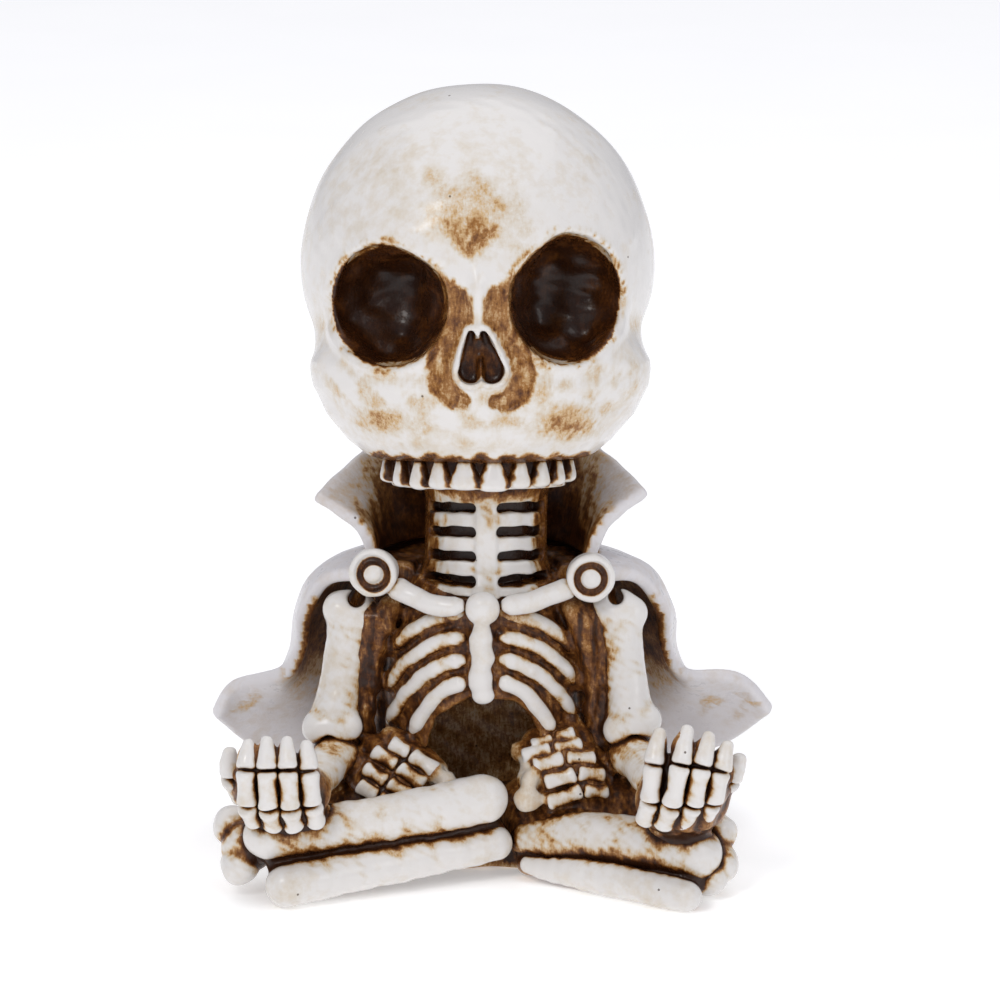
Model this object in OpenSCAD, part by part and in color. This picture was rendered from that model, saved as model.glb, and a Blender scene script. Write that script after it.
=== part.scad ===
// Seated skeleton in a caped costume: an oversize skull on a ribbed neck, an open rib cage,
// crossed legs and a hand resting palm up on each knee. Millimetres, +Z up, the front faces -Y.
// The origin is on the flat underside of the pelvis, below the axis of the neck.

/* [Head] */
// Width of the skull at the temples
head_w = 46.8; // [45:0.2:48]
// Height of the middle of the cranium above the table
head_z = 80.6; // [80:0.2:82]
// Angle that the face looks up
head_tilt = 10; // [6:1:12]
// Radius of the eye sockets
socket_r = 7.7; // [6.8:0.1:7.8]
// Number of upper teeth
tooth_count = 10; // [8:2:12]

/* [Neck and chest] */
// Radius of the neck
neck_r = 8.1; // [7.4:0.1:8.4]
// Height of the root of the neck
neck_z = 37.7; // [37:0.1:38]
// Radius of the rib cage
chest_r = 12.6; // [12:0.1:13]
// Radius of the arched opening below the ribs
belly_r = 7.9; // [7:0.1:8.2]
// Ribs on each side
rib_count = 4; // [3:1:4]
// Radius of a rib
rib_r = 0.8; // [0.6:0.05:0.9]

/* [Limbs] */
// Radius of the middle of an upper arm bone
arm_r = 2.4; // [2:0.1:2.6]
// Radius of the middle of a shin bone
shin_r = 2.8; // [2.5:0.1:2.9]
// Radius of a finger bone
finger_r = 1.2; // [1:0.05:1.2]
// Radius of a toe bone
toe_r = 1.25; // [1:0.05:1.3]

/* [Costume] */
// Thickness of the cape
cape_t = 2; // [1.6:0.1:2.2]
// Thickness of the stand-up collar
collar_t = 1.8; // [1.6:0.1:2]
// Radius of the clasp buttons
button_r = 3.2; // [3:0.1:3.4]

/* [Hidden] */
$fn = 48;
head_c = [-0.5, 1.5, head_z];
neck_c = [0.7, 0];
chest_c = [0.2, 1];
SIDES = ["left", "right"];
DIGITS = ["thumb", "index_finger", "middle_finger", "ring_finger", "little_finger"];

BONE = "ivory";
WASH = "saddlebrown";

// ---- helpers ----

// Places children with their +Z axis running from a to b
module along(a, b) {
    d = b - a;
    translate(a) rotate([0, acos(d.z / norm(d)), atan2(d.y, d.x)]) children();
}

// Outline of half a bone of length len: a shaft of radius r that flares to ra and rb, with round ends
function bone_outline(len, r, ra, rb, n = 6, cap = 3) = concat(
    [for (i = [0:cap]) let (t = 90 * i / cap) [ra * sin(t), -0.7 * ra * cos(t)]],
    [for (i = [1:n - 1]) let (t = i / n)
        [r + (ra - r) * pow(1 - t, 4) + (rb - r) * pow(t, 4), len * t]],
    [for (i = [cap:-1:0]) let (t = 90 * i / cap) [rb * sin(t), len + 0.7 * rb * cos(t)]]);

// A bone from joint centre a to joint centre b
module bone(a, b, r, ra, rb, n = 6, cap = 3)
    along(a, b) rotate_extrude($fn = 32) polygon(bone_outline(norm(b - a), r, ra, rb, n, cap));

// A chain of short bones through the joints in path, with a small gap at each joint
module digit(path, r)
    for (i = [0:len(path) - 2]) {
        d = (path[i + 1] - path[i]) / norm(path[i + 1] - path[i]);
        bone(path[i] + 0.8 * r * d, path[i + 1] - 0.8 * r * d, 0.9 * r, r, 0.96 * r, 4, 2);
    }

module ball(c, r) translate(c) sphere(r);
module egg(c, r) translate(c) scale(r) sphere(1);

function catmull(a, b, c, d, t) = 0.5 * (2 * b + (c - a) * t + (2 * a - 5 * b + 4 * c - d) * t * t
    + (3 * b - a - 3 * c + d) * t * t * t);
// Point at t of 0 to 1 on a smooth curve through the points p
function on_curve(p, t) = let (n = len(p) - 1, s = min(t * n, n - 0.0001), i = floor(s))
    catmull(i > 0 ? p[i - 1] : 2 * p[0] - p[1], p[i], p[i + 1],
        i + 2 <= n ? p[i + 2] : 2 * p[n] - p[n - 1], s - i);

function cross_unit(a, b) = let (c = cross(a, b)) c / norm(c);

// A solid tube of radius r through the points of path, with its two end rings drawn in
module swept(path, r, sides = 12, taper = 0.55) {
    n = len(path) - 1;
    rings = [for (i = [0:n])
        let (d = path[min(i + 1, n)] - path[max(i - 1, 0)], u = cross_unit(d, [0, 0.2, 1]),
            w = cross_unit(d, u), k = i == 0 || i == n ? taper : 1)
        for (j = [0:sides - 1]) let (q = 360 * j / sides) path[i] + r * k * (u * cos(q) + w * sin(q))];
    polyhedron(rings, concat(
        [[for (j = [0:sides - 1]) j]],
        [for (i = [0:n - 1]) for (j = [0:sides - 1]) let (k = (j + 1) % sides)
            [i * sides + j, (i + 1) * sides + j, (i + 1) * sides + k, i * sides + k]],
        [[for (j = [sides - 1:-1:0]) n * sides + j]]));
}

// A curved sheet of thickness t through rows of control points, with nu by nv faces on each side
module sheet(rows, t, nu, nv) {
    grid = [for (j = [0:nv]) [for (i = [0:nu]) on_curve([for (r = rows) on_curve(r, i / nu)], j / nv)]];
    function normal_at(i, j) = cross_unit(
        grid[j][min(i + 1, nu)] - grid[j][max(i - 1, 0)],
        grid[min(j + 1, nv)][i] - grid[max(j - 1, 0)][i]);
    m = (nu + 1) * (nv + 1);
    pts = concat(
        [for (j = [0:nv]) for (i = [0:nu]) grid[j][i] + t / 2 * normal_at(i, j)],
        [for (j = [0:nv]) for (i = [0:nu]) grid[j][i] - t / 2 * normal_at(i, j)]);
    function at(i, j, side) = side * m + j * (nu + 1) + i;
    rim = concat([for (i = [0:nu]) [i, 0]], [for (j = [1:nv]) [nu, j]],
        [for (i = [nu - 1:-1:0]) [i, nv]], [for (j = [nv - 1:-1:1]) [0, j]]);
    polyhedron(pts, concat(
        [for (j = [0:nv - 1]) for (i = [0:nu - 1]) each [
            [at(i, j, 0), at(i, j + 1, 0), at(i + 1, j + 1, 0)],
            [at(i, j, 0), at(i + 1, j + 1, 0), at(i + 1, j, 0)],
            [at(i, j, 1), at(i + 1, j, 1), at(i + 1, j + 1, 1)],
            [at(i, j, 1), at(i + 1, j + 1, 1), at(i, j + 1, 1)]]],
        [for (k = [0:len(rim) - 1]) let (p = rim[k], q = rim[(k + 1) % len(rim)]) each [
            [at(p[0], p[1], 0), at(q[0], q[1], 0), at(q[0], q[1], 1)],
            [at(p[0], p[1], 0), at(q[0], q[1], 1), at(p[0], p[1], 1)]]]));
}

// ---- head ----

// Children are drawn in the head's own frame, with its origin at the middle of the cranium
module in_head() translate(head_c) rotate([-head_tilt, 0, 0]) children();

// Lower edge of the upper jaw, in the head's frame
jaw_z = -25.4;
SOCKETS = [[-11.4, -17.6, -5.2], [11.9, -17.6, -4.1]];
// The row of teeth is half an ellipse: its centre and its two radii
arch_c = [0.5, -2.4];
arch_r = [12.5, 11.2];

module skull() color(BONE) difference() {
    in_head() difference() {
        cranium();
        face_holes();
    }
    neck_root();
}

module cranium() {
    translate([0, 1.4, 0.4]) scale([head_w / 2, head_w / 2 + 1.4, head_w / 2 + 0.3]) sphere(1, $fn = 64);
    translate([0.4, -4.2, 0]) scale([1, 0.77, 1]) rotate_extrude() polygon([
        [0, jaw_z], [13.4, jaw_z], [14.6, -25], [17.4, -22.8], [20.2, -19.4], [21.8, -15.8],
        [22.1, -12.5], [21.6, -9], [20.4, -5.5], [18, -2], [0, -2]]);
}

module face_holes() {
    for (s = SOCKETS) translate(s) rotate([90, 0, sign(s.x) * 8]) {
        cylinder(r = socket_r, h = 14);
        sphere(socket_r);
    }
    // Nose: an upside-down heart
    translate([0.5, -17, 0]) rotate([90, 0, 0]) linear_extrude(9) polygon([
        [-0.7, -9], [0.7, -9], [2.2, -11], [2.9, -13.4], [2.5, -15], [1.2, -15.4], [0, -14.4],
        [-1.2, -15.4], [-2.5, -15], [-2.9, -13.4], [-2.2, -11]]);
}

// One tooth stands at each step round the arch
module upper_teeth() color(BONE) in_head() for (k = [0:tooth_count - 1])
    let (q = 180 * (k + 0.5) / tooth_count, c = abs(90 - q) / 90, w = 1.35 - 0.4 * c)
        translate([arch_c.x - arch_r.x * cos(q), arch_c.y - arch_r.y * sin(q), jaw_z - 3.9])
            rotate([0, 0, atan2(arch_r.x * sin(q), arch_r.y * cos(q)) + 90]) hull() {
                scale([1, 0.75, 1]) cylinder(r = w, h = 0.6, $fn = 16);
                translate([0, 0.2, 4.2]) scale([0.7, 0.7, 1]) cylinder(r = w, h = 0.6, $fn = 16);
            }

// ---- neck and chest ----

// Pairs of sideways slots climb the front of the neck
slot_pitch = 3.3;
slot_depth = 1.4;

module neck() color(BONE) {
    difference() {
        translate([neck_c.x, neck_c.y, neck_z]) rotate_extrude() polygon([
            [0, 0], [neck_r + 1.6, 0], [neck_r + 0.6, 1.4], [neck_r, 3], [neck_r, 12],
            [neck_r + 0.4, 13.4], [neck_r + 1.2, 15], [0, 15]]);
        for (k = [0:3]) for (q = [202, 281])
            translate([neck_c.x, neck_c.y, neck_z + 1.2 + k * slot_pitch]) rotate([0, 0, q])
                rotate_extrude(angle = 57) translate([neck_r - slot_depth, 0]) square([6, 1.4]);
    }
    neck_root();
}

// The top of the neck, which fills its socket in the skull
module neck_root()
    translate([neck_c.x, neck_c.y, neck_z + 15]) cylinder(r = neck_r + 1.2, h = 9);

module sternum() color(BONE) {
    egg([0.2, -12.3, 36.9], [2.3, 1.7, 2.3]);
    bone([0.1, -12.5, 34.2], [-0.1, -12.3, 26.5], 1.15, 1.2, 1.6);
    egg([0, -12.4, 31.4], [1.5, 1.1, 1.5]);
}

// The two halves differ a little, as hand modelled halves do
CLAVICLES = [
    [[-2.4, -12.2, 36.4], [-5.5, -11.6, 36.1], [-8.6, -10.2, 36.9], [-12.2, -8, 38.6]],
    [[2.8, -12.2, 36.4], [6, -11.4, 36.5], [9, -10, 37.2], [12.4, -8, 38.4]]];
module clavicle(s) color(BONE)
    swept([for (i = [0:10]) on_curve(CLAVICLES[s], i / 10)], 1.25);

module torso() color(WASH) difference() {
    union() {
        translate([chest_c.x, chest_c.y, 0]) scale([1.06, 1, 1]) rotate_extrude() polygon([
            [0, 7], [chest_r - 1.4, 7], [chest_r - 0.6, 12], [chest_r, 19], [chest_r, 26],
            [chest_r - 0.5, 31], [chest_r - 1.1, 35], [chest_r - 2.4, 37], [chest_r - 3.8, neck_z],
            [0, neck_z]]);
        translate([0.4, 4.5, 7]) scale([1.64, 0.88, 1]) cylinder(r1 = 11.4, r2 = 11.8, h = 25);
        translate([0.4, 5, 32]) scale([1.64, 0.88, 1]) cylinder(r1 = 11.4, r2 = 9.6, h = 8);
    }
    translate([neck_c.x, neck_c.y, neck_z]) cylinder(r = neck_r + 1.6, h = 9);
    translate([0.6, -14, 16.8]) rotate([-90, 0, 0]) cylinder(r = belly_r, h = 19);
    translate([0.6 - belly_r, -14, 6]) cube([2 * belly_r, 19, 10.8]);
}

// A rib leaves the breastbone and runs round and down the chest: the drop grows with the angle
rib_top = 35.6;
rib_pitch = 2.95;
rib_span = [62, 65, 63, 42];
rib_drop = [6.4, 8.6, 10.4, 7.6];
module rib(s, k) color(BONE) swept([for (i = [0:12])
    let (t = i / 12, q = 10 + (rib_span[k] - 10) * t, z = rib_top - k * rib_pitch - rib_drop[k] * pow(t, 1.7))
    [chest_c.x + s * (chest_r + 0.35 - 0.06 * max(0, z - 28)) * 1.06 * sin(q),
     chest_c.y - (chest_r + 0.35 - 0.22 * max(0, z - 28)) * cos(q), z]], rib_r);

// The seat is an oval block with a flat underside, and the thighs swell out of its front
seat_r = [18.6, 12.4];
module pelvis() color(WASH) {
    translate([0, 3, 0]) linear_extrude(8) polygon([for (i = [0:63])
        let (q = 360 * i / 64) [seat_r.x * cos(q), seat_r.y * sin(q)]]);
    for (s = [-1, 1]) bone([s * 5, -6.6, 7], [s * 21, -6.6, 7], 6.2, 5, 5);
}

// ---- arms ----

HUMERI = [[[-17, -4.6, 34], [-19.8, -7.8, 19.4]], [[18.2, -4.6, 34.4], [20.2, -7.8, 19.6]]];
FOREARMS = [[[-19.2, -8.6, 15.8], [-22.8, -18.6, 14.2]], [[20, -8.4, 16], [23.4, -18.6, 14.6]]];
module humerus(s) color(BONE) bone(HUMERI[s][0], HUMERI[s][1], arm_r, s == 0 ? 3.9 : 3.6, 3.7);
module forearm(s) color(BONE) bone(FOREARMS[s][0], FOREARMS[s][1], 2.7, 3.2, 2.6);

// Palms lie on the knees and the digits curl up in front of them: base, two joints and tip of each
PALM_C = [[-25.6, -22.4, 14.8], [26.2, -22.4, 13.6]];
module palm(s) color(WASH) translate(PALM_C[s]) scale([6.1, 4.7, 4.8]) sphere(1);
HAND = [
    [[[-31.2, -20, 13.4], [-32.6, -23.4, 17.2], [-32.7, -23.6, 21.4]],
     [[-29.3, -25.6, 11.6], [-30.3, -28, 14.6], [-30.3, -28.2, 19.6], [-29.9, -26.4, 23.4]],
     [[-26.9, -26, 11.2], [-27.4, -28.7, 14.4], [-27.6, -28.8, 19.7], [-27.6, -26.8, 23.9]],
     [[-24.2, -26, 11.2], [-24.6, -28.6, 14.4], [-24.9, -28.7, 19.7], [-25.1, -26.7, 23.9]],
     [[-21.4, -25.4, 11.5], [-21.8, -27.6, 14.6], [-22.2, -27.8, 19.3], [-22.6, -26.2, 23.1]]],
    [[[30.6, -20.6, 13.6], [32.4, -23.6, 16.8], [33.9, -23.8, 20.6]],
     [[28.6, -25.2, 11.8], [30, -27.4, 14.8], [31, -27.6, 19.2], [32, -26, 23.0]],
     [[26.2, -26, 11.4], [27.4, -28.4, 14.8], [28.4, -28.6, 20.1], [29.6, -26.6, 24.4]],
     [[23.6, -26.2, 11.4], [24.6, -28.8, 14.8], [25.7, -29, 20.5], [26.7, -26.8, 25.4]],
     [[21.2, -25.6, 11.8], [21.8, -27.8, 15.2], [22.2, -28, 20.2], [23.2, -26.2, 24.8]]]];
module hand_digit(s, d) color(BONE) digit(HAND[s][d], finger_r + (d == 0 ? 0.15 : 0));

// ---- legs ----

TIBIAE = [[[-28.2, -22.6, 8.9], [0.6, -14.8, 11.6]], [[28.2, -22, 6.2], [6.4, -10.8, 5]]];
FIBULAE = [[[-25.6, -25.4, 2.9], [2, -13.8, 5.2]], [[26.8, -27, 2], [6, -13.8, 2.1]]];
TIBIA_ENDS = [[3, 3.3], [3.2, 2.8]];
FIBULA_ENDS = [[2.5, 2.4], [1.9, 1.8]];
module tibia(s) color(BONE) bone(TIBIAE[s][0], TIBIAE[s][1], shin_r, TIBIA_ENDS[s][0], TIBIA_ENDS[s][1]);
module fibula(s) color(BONE)
    bone(FIBULAE[s][0], FIBULAE[s][1], shin_r - 0.8, FIBULA_ENDS[s][0], FIBULA_ENDS[s][1]);

// Dark filling behind the two bones of a shin
module shin_core(s) color(WASH) hull() for (p = [0, 1]) {
    translate(TIBIAE[s][p] + [0, 1.6, -1.6]) sphere(1.3, $fn = 20);
    translate(FIBULAE[s][p] + [0, 1.6, -0.4]) sphere(1.3, $fn = 20);
}

KNEES = [
    [[[-32.6, -17.4, 8.6], 2.8], [[-31.6, -20.8, 4.2], 2.6], [[-30.6, -19, 6.6], 3.6]],
    [[[31.2, -17.4, 7.8], 2.6], [[31.4, -20, 4.4], 2.6], [[29.8, -21.8, 2.9], 2.4]]];
module knee(s) color(BONE) for (b = KNEES[s]) ball(b[0], b[1]);
module femur(s) color(BONE)
    bone([(2 * s - 1) * 29.4, -15.4, 6.8], [(2 * s - 1) * 13, 1.4, 7.2], 2.9, 3.4, 3.8);

// Each foot lies across the opposite thigh, so the left foot is at the right end of the left shin
ANKLES = [
    [[[4.4, -12, 15], [1.8, 1.5, 1.3]], [[6.4, -12.6, 13.4], [1.2, 1.2, 1.5]],
     [[6.2, -13.4, 11], [1.9, 1.3, 1.7]]],
    [[[-5, -11.4, 13.4], [1.7, 1.5, 1.4]], [[-4, -11.8, 11.6], [1.9, 1.4, 1.7]]]];
// Middle of each foot, its turn about Z and its radii
SOLES = [[[11, -8.9, 13], 22, [6.6, 2.3, 4.4]], [[-10.6, -9.9, 12.6], -8, [6.4, 2.3, 3.9]]];
module ankle(s) color(WASH) {
    for (e = ANKLES[s]) egg(e[0], e[1]);
    translate(SOLES[s][0]) rotate([0, 0, SOLES[s][1]]) scale(SOLES[s][2]) sphere(1);
}

TOES = [
    [[[6.6, -10, 17.1], [9.6, -8.6, 18.1], [12.8, -6.8, 18.6]],
     [[5.2, -11.2, 16.1], [9.2, -9.8, 17.4], [13.4, -7.6, 17.1]],
     [[6.7, -12, 15.1], [11, -10.4, 16.2], [15.6, -8, 14.8]],
     [[8.2, -12.5, 13.0], [12.6, -10.9, 14.4], [16.6, -8.8, 12.8]],
     [[8.6, -13, 10.4], [13.8, -11.2, 12.0], [16.8, -9.6, 10.6]]],
    [[[-5.8, -11.6, 14.1], [-9.4, -10.6, 16.4], [-12.2, -9.8, 17.8]],
     [[-7.4, -12.2, 12.5], [-11, -11, 14.9], [-14.5, -10, 16.9]],
     [[-9.4, -12.8, 11.2], [-12.4, -12, 12.9], [-15.7, -11, 14.6]],
     [[-11.4, -13, 10.2], [-13.6, -12.6, 11.2], [-16.4, -12, 12.8]]]];
module toes(s) color(BONE) for (t = TOES[s]) digit(t, toe_r);

// ---- costume ----

// Rows of control points run from the left front edge round the back to the right front edge
CAPE = [
    [[-14, -7.6, 40.2], [-14.8, 1, 41], [-11, 9, 40.6], [0, 13.4, 40.2],
     [11, 9, 40.6], [15, 1, 41], [14.4, -7.6, 40.2]],
    [[-20.2, -3.6, 38.6], [-21, 4, 38], [-14, 14, 37.2], [0, 17.6, 36.6],
     [14, 14, 37.2], [21.6, 4, 38.2], [20.6, -3.4, 38.8]],
    [[-23.6, -0.6, 33.2], [-23.8, 7, 32], [-15.6, 16.6, 30.2], [0, 19.6, 29.6],
     [15.6, 16.6, 30.2], [24.6, 7, 32.2], [24.2, -0.2, 33.6]],
    [[-24.2, 2.4, 27.8], [-24.8, 9.6, 25], [-17, 18.6, 22.6], [0, 20.8, 21.6],
     [17, 18.6, 22.6], [25.4, 9.6, 25.6], [24.8, 2.4, 28.2]],
    [[-27, 5, 23.2], [-26.6, 12, 19.2], [-18.6, 20.6, 15], [0, 21.8, 13.6],
     [18.6, 20.6, 15], [27.4, 12, 19.8], [27.6, 5.2, 23.2]],
    [[-34, 8.2, 21], [-30, 15, 14], [-20.4, 22.9, 8.6], [0, 23, 6.8],
     [20.4, 22.9, 8.6], [31.4, 15, 14.8], [35.6, 8.2, 21.8]],
    [[-36.8, 10.6, 15.6], [-32, 17.6, 9.4], [-22, 25, 3.8], [0, 24.6, 2.2],
     [22, 25, 3.8], [34, 17.6, 10], [40.2, 10.6, 16.4]]];
module cape() color(BONE) sheet(CAPE, cape_t, 44, 28);

COLLAR = [
    [[-13.6, -6.6, 40.6], [-14, 1, 40.8], [-10.4, 9, 40.6], [0, 12.8, 40.2],
     [10.4, 9, 40.6], [14.2, 1, 40.8], [13.8, -6.6, 40.6]],
    [[-16.2, -5, 46.2], [-15.2, 3, 47.4], [-11.2, 11.6, 48.2], [0, 15.4, 48.6],
     [11.2, 11.6, 48.2], [15.4, 3, 47.6], [16.4, -5, 46.4]],
    [[-22.2, -3.2, 49.8], [-17.6, 6, 52.6], [-12.2, 14.8, 54.6], [0, 18.6, 55.8],
     [12.2, 14.8, 54.6], [17.8, 6, 53.0], [22.2, -3.2, 50.6]]];
module collar() color(BONE) sheet(COLLAR, collar_t, 40, 12);

BUTTONS = [[[-14, -7.4, 40.6], [-14.4, -10.4, 41.2]], [[14.4, -7.4, 40.1], [14.6, -10.6, 40.4]]];
module button(s) color(BONE) along(BUTTONS[s][0], BUTTONS[s][1]) rotate_extrude($fn = 64)
    polygon([[0, 0], [button_r, 0], [button_r, 2.5], [button_r - 0.4, 2.9], [2.3, 2.9], [2.1, 2], [1.4, 2],
        [1.2, 2.7], [0.7, 3.1], [0, 3.2]]);

// ---- assembly ----

skull();
upper_teeth();
neck();
sternum();
torso();
pelvis();
collar();
cape();
for (s = [0, 1]) {
    clavicle(s);
    humerus(s);
    forearm(s);
    palm(s);
    femur(s);
    knee(s);
    tibia(s);
    fibula(s);
    shin_core(s);
    ankle(s);
    toes(s);
    button(s);
    for (d = [0:4])
        hand_digit(s, d);
    for (k = [1:rib_count])
        rib(2 * s - 1, k - 1);
}
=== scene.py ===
"""Seated resin skeleton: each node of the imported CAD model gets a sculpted, painted piece.

Every piece is modelled as a field of distances in millimetres, a block of clay, that is turned into a mesh.
The brown wash in the recesses comes from how deeply each point of the surface lies among the solids round it.
"""
import math
import bpy
import numpy as np
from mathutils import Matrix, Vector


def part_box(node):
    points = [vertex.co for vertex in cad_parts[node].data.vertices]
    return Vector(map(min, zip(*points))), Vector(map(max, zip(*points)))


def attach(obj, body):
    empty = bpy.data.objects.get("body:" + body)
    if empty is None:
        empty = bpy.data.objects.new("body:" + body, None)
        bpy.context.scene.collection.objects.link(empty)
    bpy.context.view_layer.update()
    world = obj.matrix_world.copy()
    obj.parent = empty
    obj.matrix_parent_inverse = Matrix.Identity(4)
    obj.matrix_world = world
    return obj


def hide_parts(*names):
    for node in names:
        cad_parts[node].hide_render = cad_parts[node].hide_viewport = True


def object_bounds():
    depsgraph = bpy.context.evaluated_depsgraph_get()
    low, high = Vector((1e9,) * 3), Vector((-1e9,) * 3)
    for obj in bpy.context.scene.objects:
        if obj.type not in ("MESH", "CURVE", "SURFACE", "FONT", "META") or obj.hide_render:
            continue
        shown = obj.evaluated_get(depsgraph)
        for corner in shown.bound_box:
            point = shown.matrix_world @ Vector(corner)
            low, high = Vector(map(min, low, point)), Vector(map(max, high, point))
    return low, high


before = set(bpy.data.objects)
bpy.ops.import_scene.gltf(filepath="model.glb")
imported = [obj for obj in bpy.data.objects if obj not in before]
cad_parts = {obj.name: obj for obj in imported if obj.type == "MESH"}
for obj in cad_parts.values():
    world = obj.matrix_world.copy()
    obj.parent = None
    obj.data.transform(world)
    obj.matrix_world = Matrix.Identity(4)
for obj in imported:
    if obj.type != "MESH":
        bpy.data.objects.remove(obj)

import openvdb
from mathutils import Vector

CAD_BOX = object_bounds()

MM = 0.001
# Pitch of the lattice that the large pieces are modelled on, in mm; small pieces use half of it
PITCH = 0.32
# Distance in mm given to empty space
FAR = 4.0
X_AXIS, Z_AXIS = np.eye(3)[[0, 2]]


# ---- fields ----

def smin(a, b, k):
    """The lower of a and b, blended over a width k."""
    h = np.clip(0.5 + 0.5 * (b - a) / k, 0, 1)
    return b + (a - b) * h - k * h * (1 - h)


def smax(a, b, k):
    """The higher of a and b, blended over a width k."""
    return -smin(-a, -b, k)


def step(low, high, v):
    """0 below low, 1 above high and smooth between them."""
    t = np.clip((v - low) / (high - low), 0, 1)
    return t * t * (3 - 2 * t)


def hump(v, middle, width):
    """1 at middle, falling to nearly 0 at a distance of two widths."""
    return np.exp(-((v - middle) / width) ** 2)


def waves(x, y, z, length, seed, count=5):
    """Smooth lumps between about -1 and 1, with the given wavelength in mm."""
    rng = np.random.default_rng(seed)
    total = 0
    for _ in range(count):
        way = rng.normal(size=3)
        way *= 2 * math.pi / length / np.linalg.norm(way) * rng.uniform(0.7, 1.4)
        total = total + np.sin(way[0] * x + way[1] * y + way[2] * z + rng.uniform(0, 6.28))
    return total / count ** 0.5


def unit(v):
    return np.asarray(v, float) / np.linalg.norm(v)


def rod(x, y, z, a, b, ra, rb):
    """Distance to a rod from a to b with round ends, whose radius runs from ra to rb."""
    ab = b - a
    dx, dy, dz = x - a[0], y - a[1], z - a[2]
    t = np.clip((dx * ab[0] + dy * ab[1] + dz * ab[2]) / max(ab @ ab, 1e-9), 0, 1)
    out = np.sqrt((dx - t * ab[0]) ** 2 + (dy - t * ab[1]) ** 2 + (dz - t * ab[2]) ** 2)
    return out - (ra + (rb - ra) * t)


def egg(x, y, z, c, r):
    """Distance to an ellipsoid with middle c and radii r."""
    dx, dy, dz = x - c[0], y - c[1], z - c[2]
    p = np.sqrt((dx / r[0]) ** 2 + (dy / r[1]) ** 2 + (dz / r[2]) ** 2)
    q = np.sqrt((dx / r[0] ** 2) ** 2 + (dy / r[1] ** 2) ** 2 + (dz / r[2] ** 2) ** 2)
    return p * (p - 1) / np.maximum(q, 1e-6)


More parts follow.
